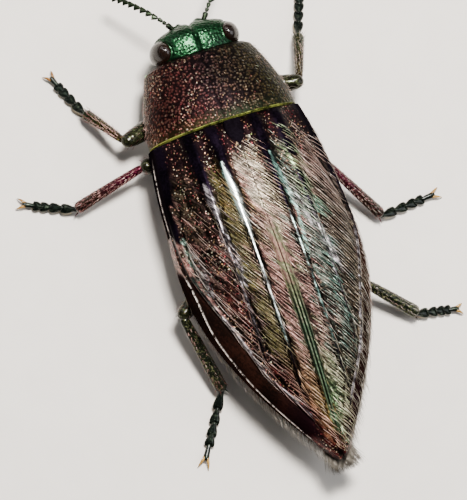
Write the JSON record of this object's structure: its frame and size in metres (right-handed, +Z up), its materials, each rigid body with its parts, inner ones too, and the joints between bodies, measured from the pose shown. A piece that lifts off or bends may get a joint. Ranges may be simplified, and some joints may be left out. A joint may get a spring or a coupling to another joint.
{
  "type": "jewel beetle",
  "caption": "Still life-size jewel beetle: boat-shaped ribbed wing cases, domed pronotum, large eyes, serrate feelers and jointed legs on clawed feet.",
  "frame": {"origin": "middle of the bounding box at floor level, between the feet", "axes": "+Z up from the floor, +Y towards the tail, +X towards the beetle's left side"},
  "size_m": [0.0198, 0.0244, 0.0051],
  "materials": {
    "wing_case": "glossy metallic copper, olive and teal iridescence under pale combed hair",
    "pronotum": "densely pitted coppery red and green metallic",
    "shield": "smooth polished purple black",
    "head": "pitted dark metallic green",
    "eye": "finely faceted dark brown, glossy",
    "mouth": "polished black brown horn",
    "belly": "pitted bronze green metallic with pale hair",
    "leg": "pitted red, bronze and green metallic",
    "foot": "dark green with pale pads and amber claws",
    "feeler": "dark bronze, dull",
    "hair": "fine pale silky hair"
  },
  "bodies": {
    "root": {"antenna_left": "feeler", "antenna_right": "feeler", "coxa_left_fore": "leg", "coxa_left_hind": "leg", "coxa_left_mid": "leg", "coxa_right_fore": "leg", "coxa_right_hind": "leg", "coxa_right_mid": "leg", "elytron_left": "wing_case", "elytron_right": "wing_case", "eye_left": "eye", "eye_right": "eye", "femur_left_fore": "leg", "femur_left_hind": "leg", "femur_left_mid": "leg", "femur_right_fore": "leg", "femur_right_hind": "leg", "femur_right_mid": "leg", "head": "head", "mandible_left": "mouth", "mandible_right": "mouth", "mesosternum": "belly", "metasternum": "belly", "pronotum": "pronotum", "prosternum": "belly", "scutellum": "shield", "tarsus_left_fore": "foot", "tarsus_left_hind": "foot", "tarsus_left_mid": "foot", "tarsus_right_fore": "foot", "tarsus_right_hind": "foot", "tarsus_right_mid": "foot", "tibia_left_fore": "leg", "tibia_left_hind": "leg", "tibia_left_mid": "leg", "tibia_right_fore": "leg", "tibia_right_hind": "leg", "tibia_right_mid": "leg", "ventrite_1": "belly", "ventrite_2": "belly", "ventrite_3": "belly", "ventrite_4": "belly", "ventrite_5": "belly"}
  },
  "joints": []
}
